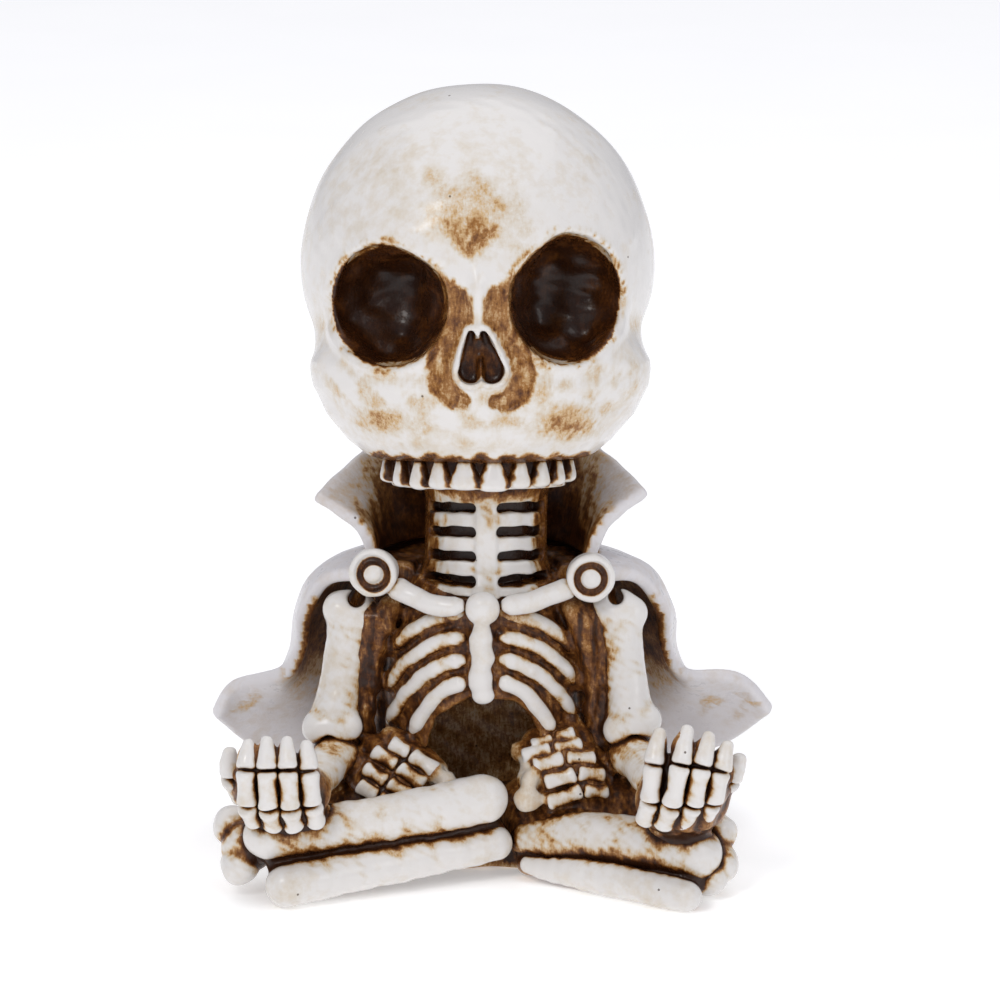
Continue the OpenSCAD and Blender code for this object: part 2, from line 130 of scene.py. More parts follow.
class Clay:
    """A box of space that holds the distance to a surface in mm, positive outside it."""

    def __init__(self, lo, hi, fine=False):
        self.fine = fine
        self.h = PITCH / 2 if fine else PITCH
        cells = 2 if fine else 1
        margin = 3 * cells
        self.i0 = np.floor(np.asarray(lo) / PITCH).astype(int) * cells - margin + margin % cells
        i1 = np.ceil(np.asarray(hi) / PITCH).astype(int) * cells + margin
        self.n = i1 - self.i0 + 1
        self.d = np.full(self.n, FAR, np.float32)
        self.axes = [((self.i0[k] + np.arange(self.n[k])) * self.h).astype(np.float32) for k in range(3)]

    def grid(self):
        """Coordinates of the cells, each along its own axis of an array."""
        return np.ix_(*self.axes)

    def window(self, lo, hi):
        """The cells between two corners, and their coordinates."""
        first = np.maximum(0, np.floor(lo / self.h).astype(int) - self.i0)
        last = np.minimum(self.n, np.ceil(hi / self.h).astype(int) - self.i0 + 1)
        cells = tuple(map(slice, first, np.maximum(first, last)))
        return cells, *np.ix_(*(axis[c] for axis, c in zip(self.axes, cells)))

    def rod(self, a, b, ra, rb=None, k=0.5, cut=False):
        """Adds a rod, or cuts it away."""
        a, b = np.asarray(a, float), np.asarray(b, float)
        rb = ra if rb is None else rb
        reach = max(ra, rb) + max(2.0, 1.5 * k)
        w, x, y, z = self.window(np.minimum(a, b) - reach, np.maximum(a, b) + reach)
        d = rod(x, y, z, a, b, ra, rb)
        self.d[w] = smax(self.d[w], -d, k) if cut else smin(self.d[w], d, k)

    def egg(self, c, r, k=0.5):
        """Adds an ellipsoid."""
        reach = max(r) + max(2.0, 1.5 * k)
        w, x, y, z = self.window(np.asarray(c) - reach, np.asarray(c) + reach)
        self.d[w] = smin(self.d[w], egg(x, y, z, c, r), k)

    def chain(self, points, radii, k):
        """Rods through points, with the radius at each."""
        for a, b, ra, rb in zip(points, points[1:], radii, radii[1:]):
            self.rod(a, b, ra, rb, k)

    def tube(self, points, radii, n=10, k=0.2):
        """A smooth tube through points, with the radius at each."""
        t = np.linspace(0, len(points) - 1, n + 1)
        self.chain(smooth_path(points, t), np.interp(t, range(len(points)), radii), k)

    def bone(self, a, b, r, ra, rb, side, lobes=0.45, k=0.7):
        """A long bone from a to b, with two knuckles side by side and a dent between them at each end."""
        u = unit(b - a)
        side = unit(side - u * (side @ u))
        across = np.cross(u, side)
        t = np.linspace(0, 1, 9)
        flare = r + (ra - r) * 0.8 * (1 - t) ** 4 + (rb - r) * 0.8 * t ** 4
        inset = np.linspace(0.8 * ra, -0.8 * rb, 9)
        self.chain([a + u * (i + s * np.linalg.norm(b - a)) for i, s in zip(inset, t)], flare, 0.3)
        for end, rad, way in ((a, ra, 1), (b, rb, -1)):
            for s in (-1, 1):
                middle = end + u * way * (0.70 + 0.12 * s) * rad + side * s * lobes * rad
                self.rod(middle - across * 0.25 * rad, middle + across * 0.25 * rad, 0.56 * rad, k=k)
            tip = end + u * way * 0.12 * rad
            self.rod(tip - across * rad, tip + across * rad, 0.3 * rad, k=0.5, cut=True)

    def phalanx(self, a, b, r, tip=False):
        """A short bone with two flared, flattened ends, or a blunt point at b."""
        length = np.linalg.norm(b - a)
        u = (b - a) / length
        w, x, y, z = self.window(np.minimum(a, b) - 2 * r, np.maximum(a, b) + 2 * r)
        dx, dy, dz = x - a[0], y - a[1], z - a[2]
        t = dx * u[0] + dy * u[1] + dz * u[2]
        out = np.sqrt(np.maximum(dx ** 2 + dy ** 2 + dz ** 2 - t ** 2, 0))
        share = np.clip(t / length, 0, 1)
        reach = r * (0.86 + 0.2 * np.abs(2 * share - 1) ** 2.5)
        if tip:
            reach = reach - r * (0.20 * step(0.35, 0.9, share) + 0.35 * share ** 5)
        d = smax(out - reach, np.abs(t - length / 2) - length / 2, 0.75)
        self.d[w] = smin(self.d[w], d, 0.1)

    def slide(self, axis, by):
        """Moves the form along an axis by a distance in mm, which varies from place to place."""
        count = self.n[axis]
        rows = np.moveaxis(np.arange(count)[:, None, None], 0, axis) - by / self.h
        low = np.clip(np.floor(rows).astype(int), 0, count - 2)
        part = np.clip(rows - low, 0, 1).astype(np.float32)
        low = np.broadcast_to(low, self.d.shape)
        below, above = (np.take_along_axis(self.d, i, axis) for i in (low, low + 1))
        self.d = (1 - part) * below + part * above
        return self

    def from_cad(self, node):
        """Takes the shape of a CAD node."""
        points, faces = cad_mesh(node)
        level = openvdb.FloatGrid.createLevelSetFromPolygons(
            points, triangles=faces, transform=openvdb.createLinearTransform(voxelSize=self.h),
            exBandWidth=6.0, inBandWidth=6.0)
        level.copyToArray(self.d, ijk=tuple(int(i) for i in self.i0))
        return self

    def soften(self, passes=1):
        """Rounds edges off and melts facets."""
        for _ in range(passes):
            for k in range(3):
                d = np.moveaxis(self.d, k, 0)
                d[1:-1] = 0.25 * d[:-2] + 0.5 * d[1:-1] + 0.25 * d[2:]
        return self

    def lumps(self, size, length, seed):
        """Uneven modelling, size mm high."""
        self.d -= size * waves(*self.grid(), length, seed).astype(np.float32)
        return self


def smooth_path(points, t):
    """Points at the parameters t on a smooth curve through points, which are at 0, 1, 2..."""
    p = np.asarray(points, float)
    p = np.vstack([2 * p[0] - p[1], p, 2 * p[-1] - p[-2]])
    i = np.clip(np.floor(t).astype(int), 0, len(p) - 4)
    s = (t - i)[:, None]
    a, b, c, d = p[i], p[i + 1], p[i + 2], p[i + 3]
    bends = (2 * a - 5 * b + 4 * c - d) * s ** 2 + (3 * b - a - 3 * c + d) * s ** 3
    return 0.5 * (2 * b + (c - a) * s + bends)


# ---- reading the frame ----

def cad_mesh(node):
    """Vertices in mm and triangles of a CAD node."""
    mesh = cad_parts[node].data
    mesh.calc_loop_triangles()
    points = np.empty(len(mesh.vertices) * 3, np.float32)
    mesh.vertices.foreach_get("co", points)
    faces = np.empty(len(mesh.loop_triangles) * 3, np.int32)
    mesh.loop_triangles.foreach_get("vertices", faces)
    return points.reshape(-1, 3) / MM, faces.reshape(-1, 3)


def box(node):
    """The two corners of a CAD node, in mm."""
    lo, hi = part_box(node)
    return np.array(lo) / MM, np.array(hi) / MM


def solids(node):
    """The separate solids of a CAD node, each as its triangles' corners in mm."""
    points, faces = cad_mesh(node)
    _, same = np.unique(np.round(points, 3), axis=0, return_inverse=True)
    faces_welded = same.reshape(-1)[faces]
    label = np.arange(faces_welded.max() + 1)
    while True:
        low = label[faces_welded].min(axis=1)
        before = label.copy()
        for k in range(3):
            np.minimum.at(label, faces_welded[:, k], low)
        label = label[label]
        if (label == before).all():
            break
    found = label[faces_welded[:, 0]]
    return [points[faces[found == i]] for i in np.unique(found)]


def spindle(corners):
    """Ends, radii at the ends and radius in the middle of a long round solid."""
    area = np.linalg.norm(np.cross(corners[:, 1] - corners[:, 0], corners[:, 2] - corners[:, 0]), axis=1)
    centres = corners.mean(axis=1)
    middle = (centres * area[:, None]).sum(axis=0) / area.sum()
    spread = (centres - middle) * area[:, None] ** 0.5
    u = np.linalg.eigh(spread.T @ spread)[1][:, 2]
    points = corners.reshape(-1, 3) - middle
    t = points @ u
    out = np.linalg.norm(points - t[:, None] * u, axis=1)
    lo, hi = t.min(), t.max()
    near = out[t < lo + 0.25 * (hi - lo)].max(), out[t > hi - 0.25 * (hi - lo)].max()
    mid_t = (lo + hi) / 2
    waist = out[np.abs(t - mid_t) < 0.25 * (hi - lo)]
    waist = waist.min() if len(waist) else min(near)
    return middle + u * lo, middle + u * hi, near[0], near[1], waist


def facing(found, start):
    """A spindle with its first end nearer to start."""
    a, b, ra, rb, waist = found
    if np.linalg.norm(b - start) < np.linalg.norm(a - start):
        return b, a, rb, ra, waist
    return found


def clay_of(node, room=0.6, fine=False):
    """Clay with the shape of a CAD node, and room mm of space round it."""
    lo, hi = box(node)
    return Clay(lo - room, hi + room, fine).from_cad(node)


def soft_node(node, lump, length, seed, passes=2, room=0.6, fine=False):
    """The shape of a CAD node with softer edges and uneven modelling."""
    return clay_of(node, room, fine).soften(passes).lumps(lump, length, seed)


# ---- head ----

SKULL_LO, SKULL_HI = box("skull")
# Middle of the cranium, and the angle that the face looks up
HEAD_C = np.array([(SKULL_LO[0] + SKULL_HI[0]) / 2, SKULL_HI[1] - 26.2, SKULL_HI[2] - 24.3])
HEAD_TILT = math.radians(10)
NECK_LO, NECK_HI = box("neck")
NECK_X, NECK_Y = (NECK_LO + NECK_HI)[:2] / 2
JAW_Z = -25.4
# Each eye socket: middle (x, z), radii, and the straight brow that cuts it: a point and its slope
SOCKETS = [
    {"c": (-11.6, -5.0), "r": (7.9, 8.0), "brow": (-11.0, 3.4), "up": (0.50, 0.866)},
    {"c": (11.6, -4.2), "r": (7.6, 8.4), "brow": (4.2, -1.0), "up": (-0.70, 0.714)}]
# The nose opening is an upside-down heart made of drops: top and bottom (x, z), and the radius at each
NOSE = [((-0.75, -8.5), (-0.85, -13.4), 0.36, 1.6), ((0.8, -8.5), (1.85, -13.3), 0.36, 1.6),
        ((0.05, -9.7), (0.4, -12.6), 0.5, 0.9)]
# The stained hollows that run down each side of the nose, as (x, z)
HOLLOWS = [
    [(-2.6, -3.8), (-2.6, -5.4), (-3.4, -8.6), (-4.8, -12.2), (-4.6, -14.8), (-3.2, -16.7), (-1.7, -17.2)],
    [(2.5, -3.6), (2.7, -5.4), (4.0, -8.4), (5.5, -11.4), (6.1, -13.8), (5.3, -16.2), (3.6, -17.4),
     (2.3, -17.3)]]
# Half their width at each of those points
HOLLOW_W = [[1.3, 1.7, 1.65, 1.6, 1.7, 1.4, 0.9], [1.2, 1.6, 1.45, 1.35, 1.45, 1.5, 1.3, 0.9]]
# Teeth round the jaw: angle in degrees, half width and length
TEETH = [(9, 0.85, 3.5), (33, 1.15, 3.8), (50, 1.3, 4.0), (65, 1.4, 3.9), (81.5, 1.85, 3.9),
         (99.5, 1.9, 4.1), (116.5, 1.4, 3.8), (132, 1.3, 3.7), (148, 1.1, 3.6), (167, 0.85, 3.4)]
# Middle and radii of the arch that they stand on
ARCH_C, ARCH_R = (0.2, -2.4), (11.9, 11.2)


def to_head(x, y, z):
    """Coordinates in the head's own frame."""
    s, c = math.sin(HEAD_TILT), math.cos(HEAD_TILT)
    x, y, z = x - HEAD_C[0], y - HEAD_C[1], z - HEAD_C[2]
    return np.broadcast_arrays(x, y * c - z * s, y * s + z * c)


def socket_edge(s, x, z, y):
    """Distance outside the opening of an eye socket, seen from the front."""
    narrower = 0.10 * np.clip(y + 19, 0, 12)
    e = np.hypot((x - s["c"][0]) / (s["r"][0] - narrower), (z - s["c"][1]) / (s["r"][1] - narrower)) - 1
    e = e * min(s["r"])
    brow = (x - s["brow"][0]) * s["up"][0] + (z - s["brow"][1]) * s["up"][1]
    return smax(e, brow, 1.6)


def from_line(x, z, p, q):
    """Distance from the line between p and q, and the nearest point's place on it, from 0 to 1."""
    way = np.subtract(q, p)
    t = np.clip(((x - p[0]) * way[0] + (z - p[1]) * way[1]) / (way @ way), 0, 1)
    return np.hypot(x - p[0] - t * way[0], z - p[1] - t * way[1]), t


def nose_edge(x, z):
    """Distance outside the nose opening, seen from the front."""
    best = FAR * 10
    for top, low, r_top, r_low in NOSE:
        d, t = from_line(x, z, top, low)
        best = np.minimum(best, d - r_top - (r_low - r_top) * t ** 0.8)
    return best


def near_path(x, z, path, widths):
    """Distance from a path as a share of its width there: below 1 on it."""
    best = FAR * 10
    for p, q, wp, wq in zip(path, path[1:], widths, widths[1:]):
        d, t = from_line(x, z, p, q)
        best = np.minimum(best, d / (wp + (wq - wp) * t))
    return best


def tooth_axes(x, y, angle):
    """Distances along the arch and out of it, from the middle of the tooth at an angle."""
    q = math.radians(angle)
    c = (ARCH_C[0] - ARCH_R[0] * math.cos(q), ARCH_C[1] - ARCH_R[1] * math.sin(q))
    n = unit((-math.cos(q) / ARCH_R[0], -math.sin(q) / ARCH_R[1]))
    return (x - c[0]) * -n[1] + (y - c[1]) * n[0], (x - c[0]) * n[0] + (y - c[1]) * n[1]


def skull():
    clay = Clay(SKULL_LO, SKULL_HI)
    x, y, z = to_head(*clay.grid())
    d = egg(x, y, z, (0, 1.4, 0.4), (23.4, 24.8, 23.7))
    # Cheeks and upper jaw: rounded, and drawn in towards the teeth
    heights = [-30, JAW_Z, -25, -22.8, -19.4, -15.8, -12.5, -9, -5.5, 0]
    radii = [13, 13.6, 14.6, 17.4, 20.2, 21.8, 22.1, 21.2, 19.8, 17]
    reach = np.hypot(x - 0.4, (y + 4.2) / 0.77) - np.interp(z, heights, radii).astype(np.float32)
    face = smax(smax(reach * 0.8, JAW_Z - z, 1.2), z + 1.0, 6)
    d = smin(d, face, 2.4)
    front = step(-6, -12, y)
    # Temples pulled in behind the sockets, cheekbones standing out below them
    for s in (-1, 1):
        d = d + 0.75 * hump(x, s * 21.0, 3.2) * hump(z, -7.6, 2.6) * hump(y, -8, 8)
        d = d - 0.55 * hump(x, s * 20.5, 4.0) * hump(z, -13.6, 2.4) * hump(y, -8, 7)
        d = d + 0.5 * hump(x, s * 17.5, 3.4) * hump(z, -19.5, 2.2) * front
    # Brow: raised over each socket, with a dent between the brows
    d = d - 0.5 * hump(z, 4.4, 2.4) * (hump(x, -12, 6) + hump(x, 12, 6)) * front
    d = d + 0.4 * hump(x, -0.9, 3.4) * hump(z, 4.4, 2.6) * front
    # Bridge of the nose, and the stained hollows at its sides
    d = d - 0.75 * hump(x, 0.1, 0.95) * step(1.0, -2.5, z) * step(-9.0, -6.5, z) * front
    for path, widths in zip(HOLLOWS, HOLLOW_W):
        d = d + 0.75 * (1 - step(0.35, 1.35, near_path(x, z, path, widths))) * front
    # Raised rim of the nose opening
    nose = nose_edge(x, z)
    d = d - 0.85 * (1 - step(0.55, 1.0, nose)) * front
    # Ridge from the nose down to the teeth, and the roots of the teeth
    d = d - 0.25 * hump(x, 0.4, 1.3) * hump(z, -17.5, 1.8) * front
    for angle, half, _ in TEETH:
        tx = ARCH_C[0] - (ARCH_R[0] + 1.2) * math.cos(math.radians(angle))
        d = d - 0.28 * hump(x, tx, 0.9 * half) * hump(z, JAW_Z + 1.6, 1.6) * front
    for s in SOCKETS:
        edge = socket_edge(s, x, z, -19)
        below = step(0, -5, z - s["c"][1])
        d = d - (0.2 + 0.3 * below) * hump(edge, 0.55, 0.6) * front
        bowl = y + 8.5 + 0.028 * ((x - s["c"][0]) ** 2 + (z - s["c"][1]) ** 2)
        hole = smax(socket_edge(s, x, z, y), bowl, 5)
        hole = hole + 0.45 * waves(x, y, z, 6.5, 31) * step(-19, -13, y)
        hole = hole + 0.12 * waves(x, 0.5 * y, 1.6 * z, 3.4, 33) * step(-14, -11, y)
        d = smax(d, -hole, 0.7)
    septum = hump(x, 0.45, 0.35) * step(-10.8, -12.5, z)
    d = smax(d, -smax(nose, y + 18.6 + 1.3 * septum, 0.9), 0.25)
    # Slack modelling of the whole head, finer on the face
    d = d - 0.10 * waves(x, y, z, 11, 5) - 0.05 * waves(x, y, z, 3.4, 6) * front
    # Bore for the top of the neck
    gx, gy, gz = clay.grid()
    bore = np.maximum(np.hypot(gx - NECK_X, gy - NECK_Y) - 9.2, gz - NECK_HI[2])
    clay.d = np.maximum(d, -bore).astype(np.float32)
    return clay


def upper_teeth():
    lo, hi = box("upper_teeth")
    clay = Clay(lo - 0.6, hi + 0.6, fine=True)
    x, y, z = to_head(*clay.grid())
    # The block that the teeth stand on, seen as dark gaps between them
    block = (np.hypot((x - ARCH_C[0]) / (ARCH_R[0] - 0.35), (y - ARCH_C[1]) / (ARCH_R[1] - 0.35)) - 1) * 11
    block = smax(block, np.abs(z - (JAW_Z - 1.2)) - 2.4, 0.4)
    d = smax(block, y + 1.5, 0.5)
    for angle, half, length in TEETH:
        along, out = tooth_axes(x, y, angle)
        down = (JAW_Z + 0.25 - z) / length
        w = half * (0.42 + 0.72 * np.clip(down * 1.35, 0, 1) ** 0.8)
        bulge = 0.8 + 0.45 * np.clip(down * 1.6, 0, 1)
        t = (np.sqrt((along / w) ** 2 + (out / bulge) ** 2) - 1) * 0.6 * half
        t = smax(t, z - (JAW_Z + 0.5), 0.6)
        t = smax(t, JAW_Z + 0.25 - length - z, 0.9)
        d = smin(d, t, 0.15)
    clay.d = d.astype(np.float32)
    return clay


# ---- neck and trunk ----

def neck():
    clay = Clay(NECK_LO, NECK_HI, fine=True)
    x, y, z = clay.grid()
    up = z - NECK_LO[2]
    rise = [0, 1.4, 3, 12, 13.4, 15, 24]
    radius = [9.7, 8.9, 8.2, 8.1, 8.5, 9.2, 9.2]
    out = np.hypot(x - NECK_X, y - NECK_Y)
    d = smax(out - np.interp(up, rise, radius), np.abs(up - 12) - 12, 0.3)
    angle = np.degrees(np.arctan2(x - NECK_X, NECK_Y - y))
    # Standing strip down the front
    d = d - 0.35 * step(13, 7, np.abs(angle)) * step(16, 14, up)
    for k in range(4):
        for s in (-1, 1):
            sweep = np.abs(np.where(s * angle > 0, angle, 999))
            droop = 0.9 * step(20, 70, sweep) * (0.8 if k else 0.3)
            middle = 1.7 + k * 3.3 - droop
            along = np.maximum(np.abs(sweep - 41) - 26, 0) * 0.14
            slot = np.hypot(along, up - middle) - 0.72
            d = smax(d, -np.maximum(slot, 6.5 - out), 0.35)
    d = d - 0.08 * waves(x, y, z, 4, 11)
    clay.d = d.astype(np.float32)
    return clay


def sternum():
    lo, hi = box("sternum")
    clay = clay_of("sternum", 1, fine=True)
    mid_x = (lo[0] + hi[0]) / 2
    # Swellings where the ribs meet it
    for side, drop, r in ((-0.3, 6.4, 1.5), (0.3, 9.0, 1.35), (-0.3, 11.6, 1.6), (0.1, 14.2, 1.5)):
        clay.egg((mid_x + side, -12.6, hi[2] - drop), (r, 1.0, 1.1), k=0.8)
    return clay.soften(2).lumps(0.05, 3, 12)


def tube_node(node, grow, seed):
    """A rib or a collar bone, a little fuller than its CAD tube."""
    lo, hi = box(node)
    clay = Clay(lo - 0.6, hi + 1.2, fine=True).from_cad(node)
    clay.soften(2)
    clay.d -= grow
    if "clavicle" in node:
        # The inner half lies nearly level
        clay.slide(2, 0.9 * step(15, 9, np.abs(clay.grid()[0])))
    return clay.lumps(0.07, 3.2, seed)


def torso():
    clay = clay_of("torso")
    for s in (-1, 1):
        # Ridge of filling between the ribs and the upper arm
        clay.tube([(s * 11.8, -6.2, 36.0), (s * 13.4, -6.4, 33.5), (s * 14.8, -5.8, 28), (s * 15.6, -5.4, 20),
                   (s * 15.4, -6.0, 12)], [0.4, 0.8, 0.85, 0.75, 1.0], k=2.4)
    return clay.soften(1).lumps(0.16, 3.6, 13)


# ---- limbs ----

FINGERS = ("thumb", "index_finger", "middle_finger", "ring_finger", "little_finger")
# Bones of each instep: middle and radii
ANKLES = {
    "left": [((4.4, -12, 15), (1.8, 1.5, 1.3)), ((6.4, -12.6, 13.4), (1.2, 1.2, 1.5)),
             ((6.2, -13.4, 11), (1.9, 1.3, 1.7))],
    "right": [((-5, -11.4, 13.4), (1.7, 1.5, 1.4)), ((-4, -11.8, 11.6), (1.9, 1.4, 1.7))]}
# The joints of each toe, from the instep to the tip, in mm
TOES = {
    "left": [[(6.6, -10, 17.1), (9.6, -9.2, 18.1), (12.6, -8.6, 18.6)],
             [(5.2, -11.2, 16.1), (9.4, -10.4, 17.0), (13.4, -9.2, 17.3)],
             [(6.7, -12, 15.1), (11, -11.2, 15.9), (15.2, -9.8, 15.5)],
             [(8.2, -12.5, 13.0), (12.6, -11.9, 14.2), (16.4, -10.4, 13.4)],
             [(8.6, -13, 10.4), (13.4, -12.2, 11.9), (16.8, -10.8, 11.2)]],
    "right": [[(-5.8, -11.6, 14.1), (-9.4, -10.6, 16.4), (-12.2, -9.8, 17.8)],
              [(-7.4, -12.2, 12.5), (-11, -11, 14.9), (-14.5, -10, 16.9)],
              [(-9.4, -12.8, 11.2), (-12.4, -12, 12.9), (-15.7, -11, 14.6)],
              [(-11.4, -13, 10.2), (-13.6, -12.6, 11.2), (-16.4, -12, 12.8)]]}
# Shin bones, tibia and fibula: how far the middle is off the straight line, the extra
# radius in mm, and the size of the inner end
SHINS = {"left": [((0, 0, -0.5), 0.25, 1.0), ((0, 0, 0.1), 0.6, 1.0)],
         "right": [((0, 0, 0.5), 0.9, 1.05), ((0, 0, 0.3), 0.25, 0.6)]}


def side_of(node):
    return node.split("_")[0]


def long_bone(node, side, lobes, seed, start, bend=(0, 0, 0), grow=0.0, inner=1.0):
    """A long bone where the CAD has one: start is a point nearer to its first end."""
    a, b, ra, rb, r = facing(spindle(np.concatenate(solids(node))), start)
    lo, hi = box(node)
    clay = Clay(lo - 0.5 - grow, hi + 0.5 + grow, fine=True)
    if lobes:
        clay.bone(a, b, r, ra, rb, np.asarray(side, float), lobes)
    else:
        u = unit(b - a)
        bend = np.asarray(bend, float)
        points = [a + u * 0.8 * ra, 0.62 * a + 0.38 * b + 0.9 * bend,
                  0.32 * a + 0.68 * b + 0.8 * bend, b - u * 0.8 * rb]
        clay.tube(points, [inner * ra, r + grow, r + grow, rb + 0.5 * grow], 12, 0.3)
    return clay.lumps(0.07, 4.5, seed)


def digits(node, start_of, seed):
    """The chains of small bones of a finger or of a row of toes."""
    lo, hi = box(node)
    clay = Clay(lo - 0.4, hi + 0.4, fine=True)
    for chain in chain_up([spindle(c) for c in solids(node)], start_of):
        for i, (a, b, r) in enumerate(chain):
            clay.phalanx(a, b, 1.17 * r, tip=i == len(chain) - 1)
    return clay.lumps(0.05, 2.4, seed)


def toes(node, seed):
    lo, hi = box(node)
    clay = Clay(lo - 1.5, hi + 1.0, fine=True)
    for path in TOES[side_of(node)]:
        for i, (a, b) in enumerate(zip(path, path[1:])):
            u = unit(np.subtract(b, a))
            clay.phalanx(a + 0.15 * u, b - 0.15 * u, 1.28 - 0.08 * i)
    return clay.lumps(0.06, 2.4, seed)


def instep(node, seed):
    """The ankle bones, and the filling of the casting that the toes lie in."""
    side = side_of(node)
    lo, hi = np.array([box(node), box(f"{side}_toes")]).transpose(1, 0, 2)
    clay = Clay(lo.min(axis=0) - 0.6, hi.max(axis=0) + 0.6).from_cad(node).soften(1)
    for path in TOES[side]:
        clay.tube([(x, y + 2.3, z) for x, y, z in path], [1.3, 1.4, 1.4], k=0.6)
    return clay.lumps(0.14, 3, seed)


def chain_up(spindles, start):
    """Sorts spindles into chains whose ends meet, each starting at the end nearest to start."""
    left = [(a, b, max(ra, rb)) for a, b, ra, rb, _ in (facing(s, start) for s in spindles)]
    left.sort(key=lambda s: np.linalg.norm(s[0] - start))
    chains = []
    while left:
        chain = [left.pop(0)]
        while True:
            gaps = [np.linalg.norm(s[0] - chain[-1][1]) for s in left]
            if not gaps or min(gaps) > 1.2:
                break
            chain.append(left.pop(int(np.argmin(gaps))))
        chains.append(chain)
    return chains


def palm(node, sign):
    """A palm, and the filling behind its curled fingers."""
    lo, hi = box(node)
    fingers = [box(f"{side_of(node)}_{finger}") for finger in FINGERS[1:]]
    top = max(fhi[2] for _, fhi in fingers)
    clay = Clay(lo - 1.5, (hi[0] + 3, hi[1] + 0.6, top)).from_cad(node)
    _, my, mz = (lo + hi) / 2
    for flo, fhi in fingers:
        fx = (flo[0] + fhi[0]) / 2
        clay.rod((fx, my - 3.0, mz + 2.0), (fx + sign * 0.6, flo[1] + 3.1, fhi[2] - 2.6), 1.5, 1.0, k=1.4)
    return clay.soften(1).lumps(0.12, 2.6, 17)


def button(node):
    """A round clasp: a disc with a ring of groove round a boss."""
    lo, hi = box(node)
    corners = np.concatenate(solids(node))
    area = np.cross(corners[:, 1] - corners[:, 0], corners[:, 2] - corners[:, 0])
    size = np.linalg.norm(area, axis=1)
    # The flat back of the button faces inwards, and gives the axis and the middle
    inward = area[:, 1] > 0.9 * size
    u = -unit(area[inward].sum(axis=0))
    back = (corners[inward].mean(axis=1) * size[inward, None]).sum(axis=0) / size[inward].sum()
    clay = Clay(lo - 0.5, hi + 0.5, fine=True)
    x, y, z = clay.grid()
    t = (x - back[0]) * u[0] + (y - back[1]) * u[1] + (z - back[2]) * u[2]
    out = np.sqrt(np.maximum((x - back[0]) ** 2 + (y - back[1]) ** 2 + (z - back[2]) ** 2 - t ** 2, 0))
    disc = smax(out - 3.2, np.abs(t - 1.3) - 1.55, 0.7)
    disc = smax(disc, -(np.hypot(out - 1.8, (t - 3.0) * 0.8) - 0.62), 0.3)
    boss = np.hypot(out, (t - 2.2) * 1.1) - 1.2
    clay.d = smin(disc, boss, 0.25).astype(np.float32)
    return clay.lumps(0.05, 3, 23)


# ---- costume ----

def folds(x, y, z):
    """Depth of the soft folds that run down the back of the cape, from 0 to 1."""
    lo, hi = box("cape")
    wave = 0.5 + 0.5 * np.sin(0.5 * x + 0.7 * np.sin(0.15 * z) + 0.9)
    return wave * step(hi[2] - 3, lo[2] + 12, z) * step(2, 12, y) * step(32, 22, np.abs(x))


def cape():
    clay = clay_of("cape", 0.3)
    # Long soft folds down the back: they push the shell forwards, and its thickness stays
    clay.slide(1, -1.1 * folds(*clay.grid()))
    return clay.soften(2).lumps(0.10, 7, 29)


# ---- making the pieces ----

def put_object(name, data):
    made = bpy.data.objects.new(name, data)
    bpy.context.scene.collection.objects.link(made)
    return made


# Last words of the names of the brown fillings
WASHED = ("torso", "pelvis", "palm", "shin_core", "ankle")


def model_all():
    """The clay of every node, by name."""
    clays = {"skull": skull(), "upper_teeth": upper_teeth(), "neck": neck(), "sternum": sternum(),
             "torso": torso(), "pelvis": soft_node("pelvis", 0.2, 6, 14),
             "collar": soft_node("collar", 0.08, 5, 37, room=0.3), "cape": cape()}
    for number, side in enumerate(("left", "right")):
        seed = 100 * (number + 1)
        # The maker of each piece, and what it gets besides the name
        makers = {
            "clavicle": (tube_node, 0.15, seed),
            "humerus": (long_bone, X_AXIS, 0.52, seed + 1, (0, 0, 99)),
            "forearm": (long_bone, X_AXIS, 0, seed + 2, (0, 20, 15)),
            "femur": (long_bone, Z_AXIS, 0, seed + 3, (0, 20, 5)),
            "tibia": (long_bone, Z_AXIS, 0, seed + 4, (0, 0, 5), *SHINS[side][0]),
            "fibula": (long_bone, Z_AXIS, 0, seed + 5, (0, 0, 5), *SHINS[side][1]),
            "palm": (palm, 2 * number - 1),
            "knee": (soft_node, 0.12, 3.5, 19, 3, 0.5, True),
            "shin_core": (soft_node, 0.1, 4, seed + 6),
            "ankle": (instep, seed + 7),
            "button": (button,),
            "toes": (toes, seed + 8)}
        wrist = np.mean(box(f"{side}_palm"), axis=0) - (0, 0, 6)
        for k, finger in enumerate(FINGERS):
            makers[finger] = (digits, wrist, seed + 20 + k)
        for k in range(1, 5):
            makers[f"rib_{k}"] = (tube_node, 0.34, seed + 40 + k)
        for kind, (make, *details) in makers.items():
            clays[f"{side}_{kind}"] = make(f"{side}_{kind}", *details)
    return clays


